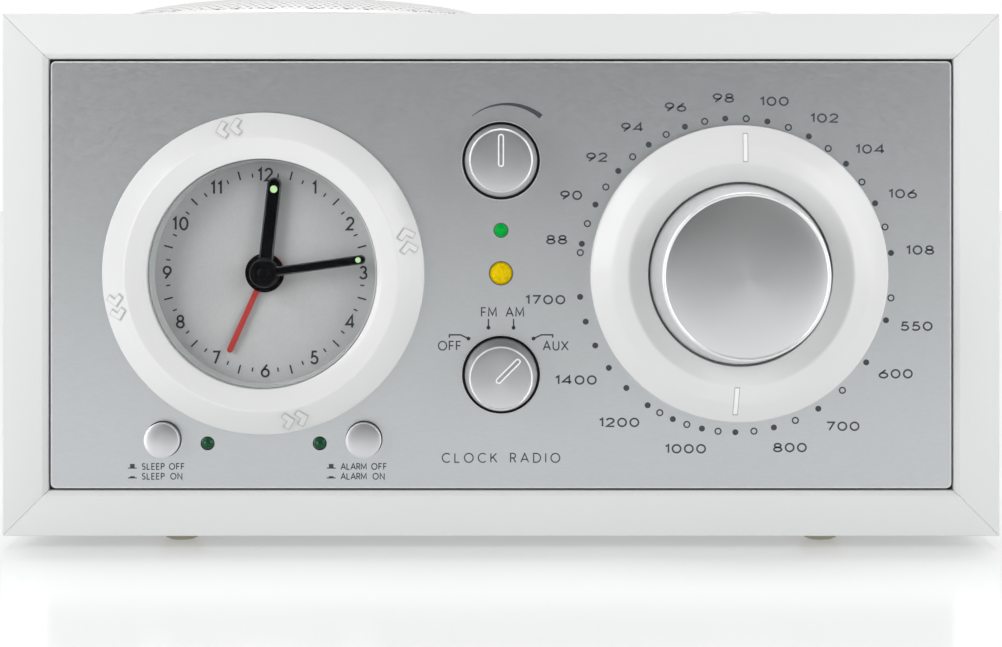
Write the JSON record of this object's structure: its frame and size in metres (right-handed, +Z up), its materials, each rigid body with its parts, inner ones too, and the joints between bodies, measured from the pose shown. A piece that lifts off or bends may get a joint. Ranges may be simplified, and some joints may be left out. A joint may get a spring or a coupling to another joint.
{
  "type": "clock radio",
  "caption": "Table clock radio: white mitred cabinet with a metal front, alarm clock with a turning ring, geared tuning dial, round knobs and a top speaker.",
  "frame": {"origin": "centre of the bounding box in X and Y, on the floor under the feet", "axes": "front faces -Y, +Z up, +X to the listener's right"},
  "size_m": [0.213, 0.133, 0.1209],
  "materials": {
    "white_lacquer": "white satin lacquer on board",
    "pine": "bare wood",
    "panel_metal": "horizontally brushed, clear anodised",
    "black_moulding": "matt moulded",
    "white_moulding": "satin moulded",
    "silver_knob": "turned, satin",
    "grille_paint": "satin white paint on steel mesh",
    "zinc_steel": "zinc plated",
    "black_screw": "blackened steel",
    "ferrite": "matt ceramic magnet",
    "clear_lens": "clear polished acrylic",
    "dial_card": "satin",
    "hand_black": "satin black",
    "hand_red": "satin red",
    "nylon": "natural acetal",
    "brass_shaft": "machined",
    "steel_shaft": "machined",
    "soft_foot": "clear yellowish polyurethane",
    "surround_rubber": "matt rubber",
    "cone_paper": "coated paper",
    "led_green": "lit green lens",
    "led_yellow": "lit yellow lens",
    "led_dark": "unlit green lens",
    "board_green": "glass-epoxy board",
    "component": "moulded component",
    "battery_jacket": "printed sleeve",
    "nickel": "nickel plated"
  },
  "bodies": {
    "cabinet": {"cabinet_top": "white_lacquer", "cabinet_bottom": "white_lacquer", "cabinet_left": "white_lacquer", "cabinet_right": "white_lacquer", "corner_blocks": "pine", "front_panel": "panel_metal", "front_chassis": "black_moulding", "rear_panel": "black_moulding", "rear_screws": "black_screw", "rubber_feet": "soft_foot", "speaker_grille": "grille_paint", "speaker_basket": "zinc_steel", "speaker_magnet": "ferrite", "speaker_yoke": "zinc_steel", "speaker_surround": "surround_rubber", "speaker_screws": "zinc_steel", "snooze_switch": "component", "clock_lens": "clear_lens", "clock_dial": "dial_card", "dial_carrier": "white_moulding", "clock_plate": "black_moulding", "clock_movement": "black_moulding", "gear_housing": "black_moulding", "tuning_capacitor": "component", "volume_control": "component", "selector_switch": "component", "power_led": "led_green", "tuning_led": "led_yellow", "button_leds": "led_dark", "button_switches": "component", "front_board": "board_green", "main_board": "board_green", "ferrite_aerial": "ferrite", "battery_box": "black_moulding", "clock_battery": "battery_jacket", "audio_sockets": "black_moulding", "aerial_socket": "nickel", "power_socket": "black_moulding", "bass_port": "black_moulding"},
    "alarm_ring": {"alarm_ring": "white_moulding"},
    "alarm_pinion": {"alarm_pinion": "nylon"},
    "alarm_hand": {"alarm_hand": "hand_red"},
    "hour_hand": {"hour_hand": "hand_black"},
    "minute_hand": {"minute_hand": "hand_black"},
    "time_set": {"time_set_knob": "black_moulding"},
    "tuning_knob": {"tuning_knob": "silver_knob", "tuning_shaft": "steel_shaft"},
    "tuning_dial": {"tuning_dial": "white_moulding", "planet_carrier": "brass_shaft"},
    "planet_1": {"planet_gear_1": "nylon"},
    "planet_2": {"planet_gear_2": "nylon"},
    "planet_3": {"planet_gear_3": "nylon"},
    "volume": {"volume_knob": "silver_knob"},
    "selector": {"selector_knob": "silver_knob"},
    "sleep_button": {"sleep_button": "silver_knob"},
    "alarm_button": {"alarm_button": "silver_knob"},
    "snooze_button": {"snooze_button": "white_moulding"},
    "speaker_cone": {"speaker_cone": "cone_paper"},
    "battery_door": {"battery_door": "black_moulding"}
  },
  "joints": [
    {"name": "alarm_ring_turn", "type": "hinge", "parent": "cabinet", "child": "alarm_ring", "pos_m": [-0.0508, -0.0475, 0.0588], "axis": [0, -1, 0], "continuous": true},
    {"name": "alarm_pinion_turn", "type": "hinge", "parent": "cabinet", "child": "alarm_pinion", "pos_m": [-0.03666, -0.0475, 0.04466], "axis": [0, -1, 0], "continuous": true},
    {"name": "alarm_hand_turn", "type": "hinge", "parent": "cabinet", "child": "alarm_hand", "pos_m": [-0.0508, -0.0475, 0.0588], "axis": [0, -1, 0], "continuous": true},
    {"name": "time_set_turn", "type": "hinge", "parent": "cabinet", "child": "time_set", "pos_m": [-0.0508, -0.0475, 0.0588], "axis": [0, -1, 0], "continuous": true},
    {"name": "minute_hand_turn", "type": "hinge", "parent": "cabinet", "child": "minute_hand", "pos_m": [-0.0508, -0.0475, 0.0588], "axis": [0, -1, 0], "continuous": true},
    {"name": "hour_hand_turn", "type": "hinge", "parent": "cabinet", "child": "hour_hand", "pos_m": [-0.0508, -0.0475, 0.0588], "axis": [0, -1, 0], "continuous": true},
    {"name": "tuning_knob_turn", "type": "hinge", "parent": "cabinet", "child": "tuning_knob", "pos_m": [0.0508, -0.0475, 0.0588], "axis": [0, -1, 0], "range_deg": [-405, 420]},
    {"name": "tuning_dial_turn", "type": "hinge", "parent": "cabinet", "child": "tuning_dial", "pos_m": [0.0508, -0.0475, 0.0588], "axis": [0, -1, 0], "range_deg": [-84, 84]},
    {"name": "planet_1_turn", "type": "hinge", "parent": "tuning_dial", "child": "planet_1", "pos_m": [0.0508, -0.0475, 0.0708], "axis": [0, -1, 0], "range_deg": [-226, 226]},
    {"name": "planet_2_turn", "type": "hinge", "parent": "tuning_dial", "child": "planet_2", "pos_m": [0.04041, -0.0475, 0.0528], "axis": [0, -1, 0], "range_deg": [-226, 226]},
    {"name": "planet_3_turn", "type": "hinge", "parent": "tuning_dial", "child": "planet_3", "pos_m": [0.06119, -0.0475, 0.0528], "axis": [0, -1, 0], "range_deg": [-226, 226]},
    {"name": "volume_turn", "type": "hinge", "parent": "cabinet", "child": "volume", "pos_m": [0, -0.0475, 0.0829], "axis": [0, -1, 0], "range_deg": [-150, 150]},
    {"name": "selector_turn", "type": "hinge", "parent": "cabinet", "child": "selector", "pos_m": [0, -0.0475, 0.0371], "axis": [0, -1, 0], "range_deg": [0, 90]},
    {"name": "sleep_press", "type": "slide", "parent": "cabinet", "child": "sleep_button", "axis": [0, 1, 0], "range_m": [0, 0.0025], "stiffness_N_per_m": 300, "springref_m": -0.0005},
    {"name": "alarm_press", "type": "slide", "parent": "cabinet", "child": "alarm_button", "axis": [0, 1, 0], "range_m": [0, 0.0025], "stiffness_N_per_m": 300, "springref_m": -0.0005},
    {"name": "snooze_press", "type": "slide", "parent": "cabinet", "child": "snooze_button", "axis": [0, 0, -1], "range_m": [0, 0.0015], "stiffness_N_per_m": 400, "springref_m": -0.0005},
    {"name": "cone_move", "type": "slide", "parent": "cabinet", "child": "speaker_cone", "axis": [0, 0, 1], "range_m": [-0.001, 0.001], "stiffness_N_per_m": 1500, "deforming": ["speaker_surround"]},
    {"name": "battery_door_pull", "type": "slide", "parent": "cabinet", "child": "battery_door", "axis": [0, 1, 0], "range_m": [0, 0.02]}
  ],
  "couplings": [
    {"joint": "alarm_pinion_turn", "follows": "alarm_ring_turn", "ratio": 6},
    {"joint": "alarm_hand_turn", "follows": "alarm_ring_turn", "ratio": 1},
    {"joint": "minute_hand_turn", "follows": "time_set_turn", "ratio": 1},
    {"joint": "hour_hand_turn", "follows": "time_set_turn", "ratio": 0.083333},
    {"joint": "tuning_dial_turn", "follows": "tuning_knob_turn", "ratio": 0.2},
    {"joint": "planet_1_turn", "follows": "tuning_knob_turn", "ratio": -0.53333},
    {"joint": "planet_2_turn", "follows": "tuning_knob_turn", "ratio": -0.53333},
    {"joint": "planet_3_turn", "follows": "tuning_knob_turn", "ratio": -0.53333}
  ]
}
